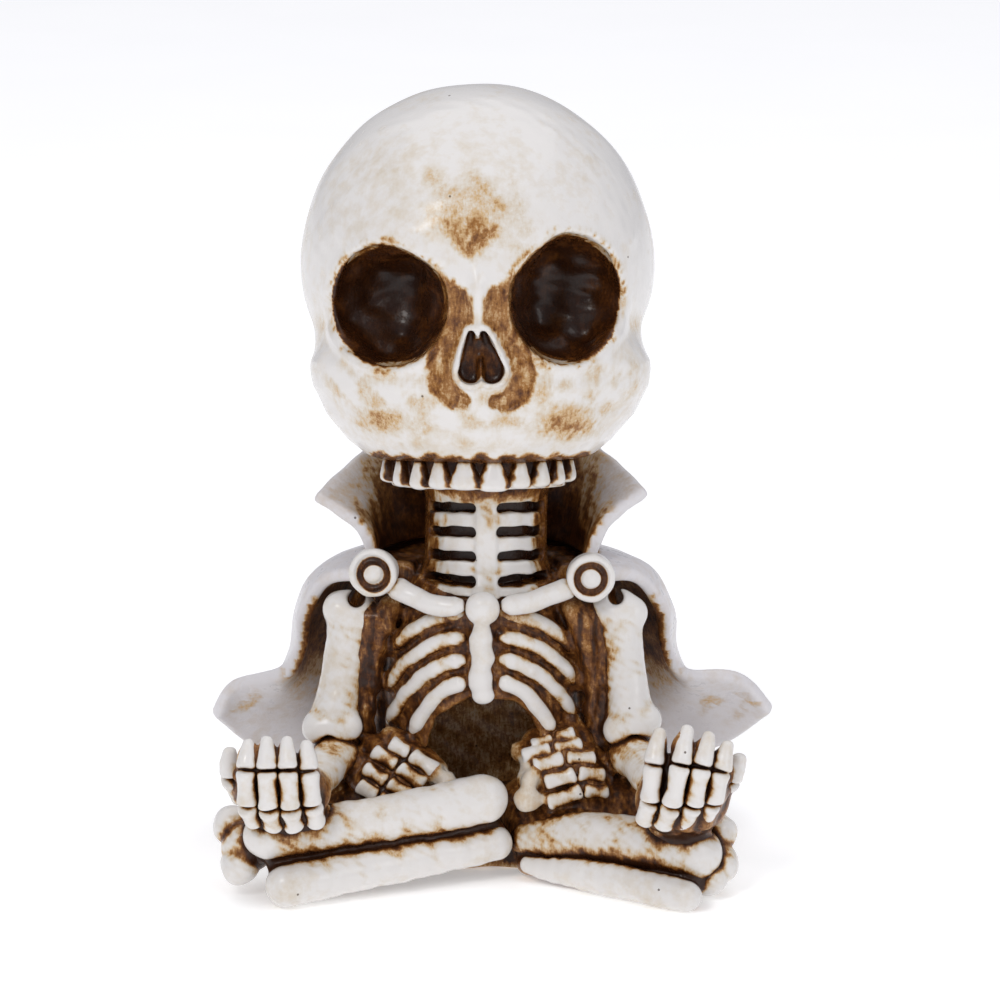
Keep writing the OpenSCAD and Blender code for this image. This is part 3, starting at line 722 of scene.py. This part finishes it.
class Space:
    """The whole object on one lattice: the nearest surface of a set of clays."""

    def __init__(self):
        lo, hi = (np.array(c) / MM for c in CAD_BOX)
        self.i0 = np.floor(lo / PITCH).astype(int) - 8
        self.n = np.ceil(hi / PITCH).astype(int) + 8 - self.i0
        self.d = np.full(self.n, FAR, np.float32)

    def overlap(self, clay):
        """The cells shared with a clay, and its distances at them."""
        cells = 2 if clay.fine else 1
        d = clay.d[::cells, ::cells, ::cells]
        start = clay.i0 // cells
        lo, hi = np.maximum(self.i0, start), np.minimum(self.i0 + self.n, start + d.shape)
        mine, theirs = (tuple(map(slice, lo - first, hi - first)) for first in (self.i0, start))
        return mine, theirs, d

    def add(self, clay):
        mine, theirs, d = self.overlap(clay)
        self.d[mine] = np.minimum(self.d[mine], d[theirs])

    def sample(self, field, points):
        """field at points in mm, between the cells."""
        p = points / PITCH - self.i0
        i = np.clip(np.floor(p).astype(int), 0, np.array(self.n) - 2)
        f = (p - i).astype(np.float32)
        total = 0
        for corner in np.ndindex(2, 2, 2):
            weight = np.prod([f[:, k] if corner[k] else 1 - f[:, k] for k in range(3)], axis=0)
            total = total + weight * field[i[:, 0] + corner[0], i[:, 1] + corner[1], i[:, 2] + corner[2]]
        return total


def blur(field, radius):
    """field averaged three times over cubes of 2 radius + 1 cells."""
    width = 2 * radius + 1
    for k in range(3):
        f = np.moveaxis(field, k, 0)
        for _ in range(3):
            padded = np.concatenate([np.zeros_like(f[:1])] + [f[:1]] * radius + [f] + [f[-1:]] * radius)
            total = np.cumsum(padded, axis=0, dtype=np.float32)
            f = (total[width:] - total[:-width]) / width
        field = np.moveaxis(f, 0, k)
    return np.ascontiguousarray(field)


def melt(clays):
    """Lets the brown filling creep up the bones that lie in it, as one casting does."""
    bones = Space()
    for name, clay in clays.items():
        if not name.endswith(WASHED) and name not in ("cape", "collar", "skull"):
            bones.add(clay)
    for name, clay in clays.items():
        if not name.endswith(WASHED):
            continue
        mine, theirs, _ = bones.overlap(clay)
        own = clay.d[theirs]
        # It stays 0.15 mm under the bones, and swells 1.1 mm at most
        joined = smin(own, bones.d[mine] + 0.15, 1.6)
        clay.d[theirs] = np.maximum(joined, own - 1.1)


def mesh_of(name, clay):
    """The surface of a clay, as vertices in mm and the mesh object."""
    ground = clay.grid()[2]
    d = np.maximum(clay.d, -ground)
    level = openvdb.FloatGrid(FAR)
    level.copyFromArray(np.clip(d, -FAR, FAR), ijk=tuple(int(i) for i in clay.i0), tolerance=0.0)
    level.transform = openvdb.createLinearTransform(voxelSize=clay.h)
    points, triangles, quads = level.convertToPolygons(isovalue=0, adaptivity=0)
    mesh = bpy.data.meshes.new(name)
    loops = np.concatenate([triangles.reshape(-1), quads.reshape(-1)])
    sizes = [0] + [3] * len(triangles) + [4] * len(quads)
    for part, label, values, kind in (
            (mesh.vertices, "co", points * MM, np.float32), (mesh.loops, "vertex_index", loops, np.int32),
            (mesh.polygons, "loop_start", np.cumsum(sizes)[:-1], np.int32)):
        part.add(len(values))
        part.foreach_set(label, values.astype(kind).reshape(-1))
    mesh.update(calc_edges=True)
    mesh.flip_normals()
    mesh.validate()
    mesh.shade_smooth()
    return points.astype(float), mesh


# ---- painting ----

def paint_skull(v, wash_and_shade, near_black):
    x, y, z = to_head(*v.T)
    front = step(-9, -13, y)
    rough = waves(x, y, z, 1.1, 41, 9) * 0.5
    broad = waves(x, y, z, 4.5, 42, 6) * 0.5
    for path, widths in zip(HOLLOWS, HOLLOW_W):
        off = near_path(x, z, path, widths) + 0.16 * rough
        on = 0.50 + 0.09 * waves(x, 0.4 * y, 0.35 * z, 1.5, 43) + 0.08 * hump(off, 0.9, 0.3)
        on = on * (1 - step(0.9, 1.3, off))
        wash_and_shade = np.maximum(wash_and_shade, on * front * step(0.6, 0.85, nose_edge(x, z)))
    # The same stain between the ridge of the nose and the sockets
    top = step(0.5, -0.5, z + 4.2 - 0.75 * np.abs(x - 0.1) + 0.4 * rough)
    side = step(0.35, 0.8, np.abs(x - 0.1)) * step(5.6, 4.8, np.abs(x)) * step(-9.5, -7.5, z)
    wash_and_shade = np.maximum(wash_and_shade, 0.52 * top * side * front * step(0.6, 0.85, nose_edge(x, z)))
    # Nose opening
    nose = nose_edge(x, z)
    rim = hump(nose, 0.45, 0.35) * front
    wash_and_shade = wash_and_shade * (1 - 0.9 * rim * (nose > 0.08))
    hole = step(0.05, -0.2, nose) * front
    wash_and_shade = np.maximum(wash_and_shade, (0.80 + 0.1 * broad) * hole)
    near_black = near_black * (1 - 0.8 * hole)
    # Patch between the brows: a triangle that points down
    half = np.interp(z, [-0.5, 0.8, 2.5, 4.9, 7.0], [-3, 0.2, 2.2, 3.9, 4.2])
    edge = np.maximum(np.abs(x + 0.9) - half, 0.7 * (z - 6.4))
    patch = step(0.9, -1.2, edge + 0.7 * rough + 0.5 * broad) * front
    wash_and_shade = np.maximum(wash_and_shade, (0.47 + 0.12 * rough) * patch)
    halo = np.hypot((x + 0.6) / 8.5, (z - 7.5) / 5.5) + 0.35 * broad + 0.15 * rough
    wash_and_shade = np.maximum(wash_and_shade, 0.25 * step(1.1, 0.2, halo) * front)
    # Faint tan glaze over the brows, the cheeks and the jaw
    glaze = hump(z, -17, 6) + 0.7 * hump(z, 3.5, 2.5) * step(14, 8, np.abs(x))
    wash_and_shade = np.maximum(wash_and_shade, 0.24 * glaze * step(-0.35, 0.6, broad + 0.3 * rough) * front)
    # Cheeks
    for cx, cz, rx, rz, depth in ((-12.4, -19.9, 3.9, 2.0, 0.42), (11.6, -20.4, 3.9, 2.7, 0.46)):
        e = np.hypot((x - cx) / rx, (z - cz) / rz) + 0.22 * rough + 0.15 * broad
        wash_and_shade = np.maximum(wash_and_shade, depth * step(1.3, 0.1, e) * front)
    # Sockets: brown at the edge, nearly black inside
    for s in SOCKETS:
        e = socket_edge(s, x, z, y)
        inside = step(0.3, -0.3, e + 0.2 * rough) * front + (e < 0) * step(-18, -15, y) * (y < -6)
        inside = np.clip(inside, 0, 1)
        dirt = hump(e, 0.55, 0.5) * step(-0.1, 0.6, 0.6 * rough + 0.7 * broad) * front
        wash_and_shade = np.maximum(wash_and_shade, 0.50 * dirt)
        depth = np.clip((y + 20) / 9, 0, 1)
        wash_and_shade = np.maximum(wash_and_shade, inside * (0.80 + 0.14 * depth + 0.08 * broad))
        near_black = np.maximum(near_black * (1 - inside), inside * step(-0.3, -3.5, e) * (0.35 + 0.4 * depth))
    # Gum line
    line = JAW_Z + 0.75 + 0.3 * np.cos((x - 0.5) * 1.9) + 0.35 * broad
    wash_and_shade = np.maximum(wash_and_shade, 0.8 * step(line + 0.6, line - 0.2, z + 0.2 * rough))
    return wash_and_shade, near_black


def paint_teeth(v, wash_and_shade, near_black):
    x, y, z = to_head(*v.T)
    best = np.full(len(x), 9.0)
    shade = np.zeros(len(x))
    for angle, half, length in TEETH:
        along, _ = tooth_axes(x, y, angle)
        down = np.clip((JAW_Z + 0.25 - z) / length, 0, 1)
        w = half * (0.38 + 0.74 * np.clip((down - 0.04) * 1.4, 0, 1) ** 0.75)
        off = np.abs(along) / w
        nearer = off < best
        best = np.where(nearer, off, best)
        shade = np.where(nearer, along / half, shade)
    # One side of each tooth is painted browner: painted shade, added to the brown of the gaps between the
    # teeth
    off = best + 0.14 * step(0.1, 0.9, shade) + 0.07 * waves(x, y, z, 1.2, 47)
    gap_and_shade = step(0.66, 1.06, off)
    wash_and_shade = np.maximum(0.25 * wash_and_shade, 0.9 * gap_and_shade)
    wash_and_shade = np.maximum(wash_and_shade, 0.8 * step(JAW_Z - 0.35, JAW_Z + 0.1, z))
    lip = step(JAW_Z - 3.25, JAW_Z - 3.45, z)
    wash_and_shade = wash_and_shade * (1 - 0.75 * lip)
    near_black = np.maximum(0.4 * near_black, 0.6 * step(0.95, 1.2, off) * (1 - lip))
    return wash_and_shade, near_black


def paint_neck(v, wash_and_shade, near_black):
    x, y, z = v.T
    up = z - NECK_LO[2]
    # Browner band at the top, under the skull: brown wash and painted shadow of the skull
    wash_and_shade = np.maximum(wash_and_shade, 0.75 * step(11.6, 14.6, up + 0.5 * waves(x, y, z, 2.2, 51)))
    wash_and_shade = np.maximum(wash_and_shade, 0.7 * step(-4.5, -1, y))
    # The left and right sides are painted browner: painted shade where they turn away from the front
    across = np.abs(x - NECK_X) + 0.6 * waves(x, y, z, 1.6, 52)
    wash_and_shade = np.maximum(wash_and_shade, 0.72 * step(5.4, 7.6, across))
    # The slots are nearly black
    near_black = np.maximum(near_black, 0.8 * step(7.7, 7.1, np.hypot(x - NECK_X, y - NECK_Y)) * step(14, 13, up))
    return wash_and_shade, near_black


def inner_side(v):
    """1 on the side of a thin shell that faces its axis, 0 on the outer side."""
    out = np.hypot(v[:, 0], v[:, 1])
    cell = (np.degrees(np.arctan2(v[:, 0], v[:, 1])) // 5 * 1000 + v[:, 2] // 1.5).astype(int)
    where = np.unique(cell, return_inverse=True)[1]
    middle = np.bincount(where, out) / np.bincount(where)
    return step(0.3, -0.5, out - middle[where])


def paint_collar(v, wash_and_shade, near_black):
    x, y, z = v.T
    lo, hi = box("collar")
    rough = waves(x, y, z, 4, 61) + 0.5 * waves(x, y, z, 1.2, 62)
    reach = np.maximum(np.abs(x) - 11, 0) / 8 + np.maximum(z - lo[2] - 3, 0) / (hi[2] - lo[2]) * 0.5
    inside = inner_side(v)
    wash_and_shade = np.maximum(wash_and_shade, inside * (0.12 + 0.75 * step(1.05, 0.1, reach + 0.15 * rough)))
    near_black = np.maximum(near_black, 0.4 * inside * step(0.5, 0.0, reach))
    return wash_and_shade, near_black


def paint_cape(v, wash_and_shade, near_black):
    x, y, z = v.T
    rough = waves(x, y, z, 1.3, 64)
    high = step(17, 30, z + 1.5 * waves(x, y, z, 6, 63) + 0.8 * rough)
    inside = inner_side(v)
    inner = inside * step(37, 34, z + 0.5 * rough) * step(29, 24, np.abs(x) + 0.5 * rough)
    wash_and_shade = np.maximum(wash_and_shade, (0.26 + 0.5 * high) * inner * step(13, 23, z + rough + 0.3 * (np.abs(x) - 22)))
    near_black = np.maximum(near_black, 0.35 * inner * step(26, 32, z))
    # Stains beside the clasps, and on the upper side of the wings
    for side, far in ((-1, 1.0), (1, 0.7)):
        near = np.hypot(x - side * 21.0, y + 12.0) + 1.2 * rough
        wash_and_shade = np.maximum(wash_and_shade, 0.42 * far * step(4.5, 1.0, near) * step(28, 32, z))
    edge = hump(z, 17.5, 2.5) * step(27, 31, np.abs(x))
    edge = edge * step(-0.4, 0.8, waves(x, y, z, 4, 65) + 0.3 * rough)
    wash_and_shade = np.maximum(wash_and_shade, 0.24 * edge * inside)
    # The wash lies in the folds of the back
    valley = step(0.4, 1.0, folds(x, y, z) + 0.15 * rough) * (1 - inside)
    wash_and_shade = np.maximum(wash_and_shade, 0.19 * valley * step(-0.8, 0.6, waves(x, y, z, 5, 66)))
    return wash_and_shade, near_black


def paint_button(v, wash_and_shade, near_black):
    middle = (v.min(axis=0) + v.max(axis=0)) / 2
    out = np.hypot(v[:, 0] - middle[0], v[:, 2] - middle[2])
    front = step(0.2, -0.4, v[:, 1] - middle[1])
    groove = step(1.25, 1.4, out) * step(2.35, 2.15, out) * front
    return np.maximum(wash_and_shade * (1 - 0.7 * front), 0.88 * groove), np.maximum(near_black * (1 - front), 0.25 * groove)


def paint_filling(v, wash_and_shade, near_black):
    """Brown filling with lighter and darker streaks."""
    x, y, z = v.T
    streaks = 0.78 + 0.10 * waves(x, y, 0.3 * z, 1.6, 72) + 0.10 * waves(x, y, 0.4 * z, 0.7, 73)
    return np.minimum(wash_and_shade, np.clip(streaks, 0.5, 1)), 0.5 * near_black


def paint_torso(v, wash_and_shade, near_black):
    x, y, z = v.T
    # The hollow belly has a greyer, even coat
    belly = step(9.2, 8.2, np.hypot(x - 0.6, np.maximum(z - 16.8, 0)))
    belly = belly * step(-11.2, -9.5, y) * step(25.5, 24.5, z)
    coat = 0.47 + 0.16 * step(17, 24, z) + 0.04 * waves(x, y, z, 5, 71)
    wash_and_shade, near_black = paint_filling(v, wash_and_shade, near_black)
    # Dark strands down the sides, beside the upper arms
    strands = step(0.0, 0.6, waves(x, 0.5 * y, 0.12 * z, 1.3, 76))
    strands = strands * step(11.5, 13, np.abs(x)) * step(2, -2, y)
    wash_and_shade, near_black = np.maximum(wash_and_shade, 0.9 * strands), np.maximum(near_black, 0.6 * strands)
    return wash_and_shade * (1 - belly) + belly * np.clip(coat, 0, 1), near_black * (1 - 0.85 * belly)


def paint_palm(v, wash_and_shade, near_black):
    """The back of the hand is whiter than the filling between the fingers."""
    y = v[:, 1] - (v[:, 1].min() + v[:, 1].max()) / 2
    back = step(-0.5, 2.5, y + 0.8 * waves(*v.T, 2.5, 75))
    return wash_and_shade * (1 - 0.72 * back), near_black * (1 - 0.7 * back)


def paint_ankle(v, wash_and_shade, near_black):
    """White bones of the instep over brown filling."""
    x, y, z = v.T
    side = "left" if x.mean() > 0 else "right"
    d = FAR * 10
    for c, r in ANKLES[side]:
        d = np.minimum(d, egg(x, y, z, c, r))
    wash_and_shade, near_black = paint_filling(v, wash_and_shade, near_black)
    return wash_and_shade * step(0.1, 0.7, d) + 0.1 * (1 - step(0.1, 0.7, d)), near_black * step(0.2, 0.8, d)


# Painting of a kind of piece: its name without the first word, where it has more than one
PAINT = {"skull": paint_skull, "teeth": paint_teeth, "neck": paint_neck, "torso": paint_torso,
         "pelvis": paint_filling, "palm": paint_palm, "ankle": paint_ankle, "button": paint_button,
         "collar": paint_collar, "cape": paint_cape}
# How much browner or whiter a kind of piece is than its recesses make it
BIAS = {"torso": 0.42, "pelvis": 0.40, "palm": 0.40, "shin_core": 0.42, "ankle": 0.34, "knee": 0.30,
        "toes": 0.24, "finger": 0.22, "thumb": 0.22, "rib": 0.14, "clavicle": 0.12, "forearm": 0.18,
        "humerus": 0.10, "femur": 0.1, "tibia": 0.05, "fibula": 0.05, "sternum": 0.05, "button": -0.04,
        "cape": -0.10, "collar": -0.08, "skull": -0.10}
# The least wash on the fillings of the casting
FLOOR_WASH = {"torso": 0.80, "pelvis": 0.66, "palm": 0.74, "shin_core": 0.82, "ankle": 0.72}


def colour_amounts(name, v, fields, space):
    """The brown wash, with the painted shade of the neck and the teeth, and the near-black amount at each
    vertex, from 0 to 1.
    """
    near, middle, wide = (2 * space.sample(f, v) - 1 for f in fields)
    kind = name.split("_", 1)[-1]
    bias = next((b for word, b in BIAS.items() if word in name), 0.0)
    # The bones take more of the wash than the broad smooth pieces
    low = 0.0 if name in ("skull", "cape", "collar") else 1.0
    bias = bias + low * (0.09 * waves(*v.T, 3.5, 83) + 0.05 * waves(*v.T, 1.1, 84))
    depth = 0.55 * near + 0.85 * middle + (0.30 + 0.2 * low) * wide + bias
    wash_and_shade = step(-0.14 - 0.16 * low, 0.50 - 0.04 * low, depth)
    # Near-black brown where the surface lies deepest among the solids round it
    near_black = 0.7 * step(0.55, 1.2, 0.6 * near + 0.8 * middle)
    wash_and_shade = np.maximum(wash_and_shade, FLOOR_WASH.get(kind, 0) * (1 - 0.5 * step(0.0, -0.5, middle)))
    if kind in PAINT:
        wash_and_shade, near_black = PAINT[kind](v, wash_and_shade, near_black)
    return np.clip(wash_and_shade, 0, 1), np.clip(near_black, 0, 1)


# ---- materials ----

def linear(r, g, b):
    """An 8-bit screen colour as linear RGBA."""
    return tuple(((c / 255 + 0.055) / 1.055) ** 2.4 if c > 10 else c / 255 / 12.92 for c in (r, g, b)) + (1,)


class Nodes:
    """Short calls that make and join shader nodes."""

    def __init__(self, material):
        material.use_nodes = True
        self.tree = material.node_tree
        self.shader = self.tree.nodes["Principled BSDF"]
        coords = self.new("TexCoord")
        scale = self.new("VectorMath")
        scale.operation = "SCALE"
        scale.inputs["Scale"].default_value = 1 / MM
        self.link(coords.outputs["Object"], scale.inputs[0])
        # Object coordinates in mm
        self.mm = scale.outputs[0]

    def new(self, kind):
        return self.tree.nodes.new("ShaderNode" + kind)

    def link(self, a, b):
        self.tree.links.new(a, b)

    def put(self, socket, value):
        if isinstance(value, (int, float, tuple)):
            socket.default_value = value
        else:
            self.link(value, socket)

    def math(self, how, a, b=0.0, c=0.0, clamp=False):
        node = self.new("Math")
        node.operation = how
        node.use_clamp = clamp
        for socket, value in zip(node.inputs, (a, b, c)):
            self.put(socket, value)
        return node.outputs[0]

    def attribute(self, name):
        node = self.new("Attribute")
        node.attribute_name = name
        return node.outputs["Fac"]

    def noise(self, scale, detail=4.0, rough=0.55, stretch=(1, 1, 1), distortion=0.0):
        stretched = self.new("VectorMath")
        stretched.operation = "MULTIPLY"
        self.link(self.mm, stretched.inputs[0])
        stretched.inputs[1].default_value = stretch
        node = self.new("TexNoise")
        self.link(stretched.outputs[0], node.inputs["Vector"])
        values = {"Scale": scale, "Detail": detail, "Roughness": rough, "Distortion": distortion}
        for label, value in values.items():
            node.inputs[label].default_value = value
        return node.outputs["Fac"]

    def ramp(self, value, stops):
        node = self.new("ValToRGB")
        self.link(value, node.inputs[0])
        ramp = node.color_ramp
        while len(ramp.elements) < len(stops):
            ramp.elements.new(0.5)
        for element, (place, colour) in zip(ramp.elements, stops):
            element.position = place
            element.color = colour
        return node.outputs["Color"]

    def mix(self, amount, a, b, how="MIX"):
        node = self.new("Mix")
        node.data_type = "RGBA"
        node.blend_type = how
        # Inputs 6 and 7 and output 2 are the colours
        for socket, value in (("Factor", amount), (6, a), (7, b)):
            self.put(node.inputs[socket], value)
        return node.outputs[2]


def painted_resin(name, ivory, warm, gloss):
    """Ivory paint over resin: a brown wash in the recesses, painted shade on the neck and the teeth, brush
    marks, pinholes and a satin varnish.
    """
    material = bpy.data.materials.new(name)
    n = Nodes(material)
    wash_and_shade, near_black = n.attribute("wash_and_shade"), n.attribute("near_black")
    specks = n.noise(2.6, 5, 0.7)
    blots = n.noise(0.55, 5, 0.6)
    uneven = n.math("SUBTRACT", blots, 0.5)
    brush = n.noise(1.0, 4, 0.6, stretch=(2.4, 2.4, 0.5), distortion=0.6)
    broad = n.noise(0.10, 3, 0.5)
    # The broken edge of the wash: widest where it is half gone
    spread = n.math("MULTIPLY", n.math("MULTIPLY", wash_and_shade, n.math("SUBTRACT", 1.12, wash_and_shade)), 2.0)
    breaks = n.math("ADD", n.math("SUBTRACT", specks, 0.5), n.math("SUBTRACT", brush, 0.5))
    breaks = n.math("ADD", breaks, uneven)
    tone = n.math("MULTIPLY_ADD", breaks, spread, wash_and_shade)
    # Thin glaze that drifts over the white
    drift = n.math("MULTIPLY", n.math("SUBTRACT", n.math("MULTIPLY", blots, broad), 0.235, clamp=True), 0.75)
    tone = n.math("ADD", tone, drift, clamp=True)
    colour = n.ramp(tone, [
        (0.0, ivory), (0.16, warm), (0.34, linear(204, 172, 128)), (0.50, linear(160, 112, 60)),
        (0.70, linear(112, 68, 30)), (0.90, linear(70, 38, 16)), (1.0, linear(50, 26, 12))])
    # The colour is mixed towards near-black brown by the second attribute
    dark = n.math("MULTIPLY_ADD", uneven, 0.5, near_black, clamp=True)
    dark = n.math("MULTIPLY", dark, near_black, clamp=True)
    colour = n.mix(dark, colour, linear(42, 23, 13))
    # Pinholes of the casting: one in a few cells
    cells = n.new("TexVoronoi")
    n.link(n.mm, cells.inputs["Vector"])
    cells.inputs["Scale"].default_value = 0.30
    hue = n.new("SeparateColor")
    n.link(cells.outputs["Color"], hue.inputs[0])
    chosen = n.math("GREATER_THAN", hue.outputs[0], 0.72)
    hole = n.math("MULTIPLY", n.math("LESS_THAN", cells.outputs["Distance"], 0.05), chosen)
    colour = n.mix(n.math("MULTIPLY", hole, 0.8), colour, linear(70, 50, 35))
    n.link(colour, n.shader.inputs["Base Color"])
    rough = n.math("MULTIPLY_ADD", uneven, 0.28, gloss)
    rough = n.math("MULTIPLY_ADD", tone, 0.04, rough, clamp=True)
    n.link(rough, n.shader.inputs["Roughness"])
    n.shader.inputs["Specular IOR Level"].default_value = 0.22
    n.shader.inputs["Coat Weight"].default_value = 0.14
    n.shader.inputs["Coat Roughness"].default_value = 0.10
    # Brush marks, grain and pinholes in relief
    height = n.math("MULTIPLY_ADD", specks, 0.35, n.math("MULTIPLY", brush, 0.6))
    height = n.math("MULTIPLY_ADD", n.math("MULTIPLY", specks, tone), 0.9, height)
    height = n.math("SUBTRACT", height, hole)
    bump = n.new("Bump")
    bump.inputs["Strength"].default_value = 0.35
    bump.inputs["Distance"].default_value = 0.12 * MM
    n.link(height, bump.inputs["Height"])
    n.link(bump.outputs[0], n.shader.inputs["Normal"])
    return material


def floor_material():
    material = bpy.data.materials.new("floor")
    n = Nodes(material)
    grain = n.noise(0.02, 3, 0.5)
    pale = n.ramp(grain, [(0.0, linear(243, 243, 244)), (1.0, linear(248, 248, 248))])
    n.link(pale, n.shader.inputs["Base Color"])
    n.shader.inputs["Roughness"].default_value = 0.7
    n.shader.inputs["Emission Color"].default_value = (1, 1, 1, 1)
    n.shader.inputs["Emission Strength"].default_value = 0.34
    return material


MATERIALS = {name: painted_resin(name, linear(*ivory), linear(*warm), gloss) for name, ivory, warm, gloss in (
    ("ivory_resin", (228, 225, 222), (216, 206, 191), 0.22),
    ("costume_resin", (220, 217, 219), (207, 197, 189), 0.30),
    ("brown_wash_resin", (226, 220, 212), (212, 198, 178), 0.28))}


def slot_of(name):
    if name in ("cape", "collar"):
        return "costume_resin"
    return "brown_wash_resin" if name.endswith(WASHED) else "ivory_resin"


def make_pieces():
    clays = model_all()
    melt(clays)
    space = Space()
    for clay in clays.values():
        space.add(clay)
    # How full the space is round each place, at three scales
    near = blur(np.clip(0.5 - space.d / PITCH, 0, 1), 1)
    middle = blur(near, 3)
    wide = blur(middle, 9)
    for name, clay in clays.items():
        v, mesh = mesh_of(f"cast_{name}", clay)
        piece = put_object(f"cast_{name}", mesh)
        amounts = colour_amounts(name, v, (near, middle, wide), space)
        for label, values in zip(("wash_and_shade", "near_black"), amounts):
            mesh.attributes.new(label, "FLOAT", "POINT").data.foreach_set("value", values.astype(np.float32))
        mesh.materials.append(MATERIALS[slot_of(name)])
        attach(piece, "root")
        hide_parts(name)


# ---- stage ----

def area_light(name, place, target, size, power, colour=(1, 1, 1)):
    light = put_object(name, bpy.data.lights.new(name, "AREA"))
    light.data.size = size
    light.data.energy = power
    light.data.color = colour
    light.location = place
    light.rotation_euler = (Vector(target) - Vector(place)).to_track_quat("-Z", "Y").to_euler()


def stage():
    scene = bpy.context.scene
    # What the lamps and the camera look at: just above half height
    middle = Vector((0, 0, (CAD_BOX[0][2] + CAD_BOX[1][2]) / 2 + 0.0011))
    mesh = bpy.data.meshes.new("floor")
    half = 3.0
    corners = [(-half, -half, 0), (half, -half, 0), (half, half, 0), (-half, half, 0)]
    mesh.from_pydata(corners, [], [(0, 1, 2, 3)])
    floor = put_object("floor", mesh)
    floor.data.materials.append(floor_material())

    world = bpy.data.worlds.new("studio")
    scene.world = world
    world.use_nodes = True
    sky = world.node_tree.nodes["Background"].inputs
    sky["Color"].default_value = (0.90, 0.91, 1.0, 1)
    sky["Strength"].default_value = 0.36
    area_light("key", (-0.30, -0.60, 0.55), middle, 0.20, 1.7, (1.0, 0.98, 0.95))
    area_light("fill", (0.55, -0.50, 0.40), middle, 0.3, 0.9)
    area_light("top", (0, 0.3, 1.5), (0, 0.3, 0), 2.0, 13.5)

    # The camera looks down a little, from 0.6 m in front
    distance, elevation = 0.6, math.radians(13)
    scene.camera = camera = put_object("camera", bpy.data.cameras.new("camera"))
    towards = Vector((0, -math.cos(elevation), math.sin(elevation)))
    camera.location = middle + towards * distance
    camera.rotation_euler = (-towards).to_track_quat("-Z", "Y").to_euler()
    camera.data.lens, camera.data.sensor_width = 162, 36
    camera.data.shift_x, camera.data.shift_y = 0.019, -0.0345
    camera.data.clip_end = 20
    scene.view_settings.view_transform = "Standard"


make_pieces()
stage()
